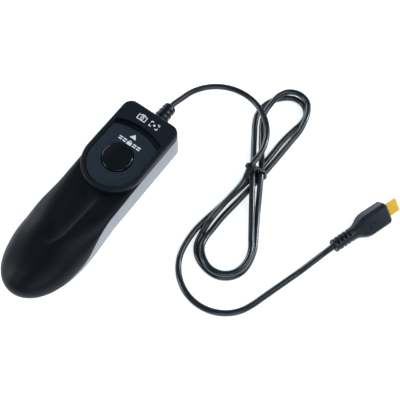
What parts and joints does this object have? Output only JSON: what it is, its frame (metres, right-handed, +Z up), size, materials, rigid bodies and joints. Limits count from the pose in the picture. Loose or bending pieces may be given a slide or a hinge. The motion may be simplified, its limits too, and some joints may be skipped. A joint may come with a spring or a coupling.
{
  "type": "cable shutter release",
  "caption": "Hand-held camera remote: round two-stage button in a sliding hold plate, ergonomic grip, coiled and tied cable, micro connector plug.",
  "frame": {"origin": "on the rest plane, directly below the centre of the button", "axes": "+Y along the handset from the tail toward the cable, +X toward the side the cable is coiled on, +Z up from the rest plane"},
  "size_m": [0.1423, 0.171, 0.0209],
  "materials": {
    "top_plastic": "satin black moulded plastic with a fine texture",
    "bottom_plastic": "satin light grey moulded plastic",
    "slider_plastic": "satin dark grey moulded plastic",
    "button_plastic": "polished black plastic",
    "soft_mould": "soft black moulded PVC",
    "cable_jacket": "smooth black PVC jacket",
    "tie_rubber": "black elastic band",
    "wire_jacket": "thin PVC insulation",
    "insulator": "phenolic insulator",
    "contact_bronze": "phosphor bronze strip",
    "gold_plate": "gold plated steel",
    "sheet_steel": "stamped sheet steel",
    "screw_steel": "zinc plated steel"
  },
  "bodies": {
    "handset": {"top_shell": "top_plastic", "bottom_shell": "bottom_plastic", "case_screws": "screw_steel", "latch_plate": "sheet_steel", "latch_screws": "screw_steel", "contact_block": "insulator", "block_screws": "screw_steel", "contact_terminals": "contact_bronze", "shutter_leaf": "contact_bronze", "cable_boot": "soft_mould", "cord_clamp": "sheet_steel", "clamp_screws": "screw_steel", "handset_wires": "wire_jacket", "cable_handset_end": "cable_jacket"},
    "slider": {"hold_slider": "slider_plastic", "slider_keeper": "sheet_steel", "return_spring": "screw_steel"},
    "button": {"button_cap": "button_plastic", "button_stem": "slider_plastic", "stem_clip": "sheet_steel"},
    "common_contact": {"common_leaf": "contact_bronze"},
    "focus_contact": {"focus_leaf": "contact_bronze"},
    "cable": {"cable_coil": "cable_jacket", "cable_tie": "tie_rubber"},
    "plug": {"cable_plug_end": "cable_jacket", "plug_overmould": "soft_mould", "plug_crimp": "sheet_steel", "plug_wires": "wire_jacket", "plug_core": "slider_plastic", "plug_contacts": "gold_plate", "plug_shell": "gold_plate"},
    "latches": {"plug_latches": "sheet_steel"}
  },
  "joints": [
    {"name": "hold_slide", "type": "slide", "parent": "handset", "child": "slider", "axis": [0, 1, 0], "range_m": [0, 0.003]},
    {"name": "button_press", "type": "slide", "parent": "slider", "child": "button", "axis": [0, 0, -1], "range_m": [0, 0.002], "stiffness_N_per_m": 600, "springref_m": -0.001, "deforming": ["return_spring"]},
    {"name": "common_flex", "type": "hinge", "parent": "handset", "child": "common_contact", "pos_m": [0, -0.017, 0.00772], "axis": [-1, 0, 0], "range_deg": [0, 7.2]},
    {"name": "focus_flex", "type": "hinge", "parent": "handset", "child": "focus_contact", "pos_m": [0, -0.017, 0.00587], "axis": [-1, 0, 0], "range_deg": [0, 4]},
    {"name": "cable_swing", "type": "hinge", "parent": "handset", "child": "cable", "pos_m": [0, 0.042, 0.0095], "axis": [0, 0, 1], "range_deg": [-20, 20]},
    {"name": "plug_swing", "type": "hinge", "parent": "cable", "child": "plug", "pos_m": [0.10748, 0.02845, 0.0057], "axis": [0, 0, 1], "range_deg": [-20, 20]},
    {"name": "latch_flex", "type": "hinge", "parent": "plug", "child": "latches", "pos_m": [0.11573, 0.05237, 0.00536], "axis": [0.7213, -0.2579, -0.6428], "range_deg": [0, 1.4], "stiffness_Nm_per_rad": 0.02}
  ],
  "couplings": [
    {"joint": "common_flex", "follows": "button_press", "rad_per_m": 59},
    {"joint": "focus_flex", "follows": "button_press", "rad_per_m": 32.5}
  ]
}
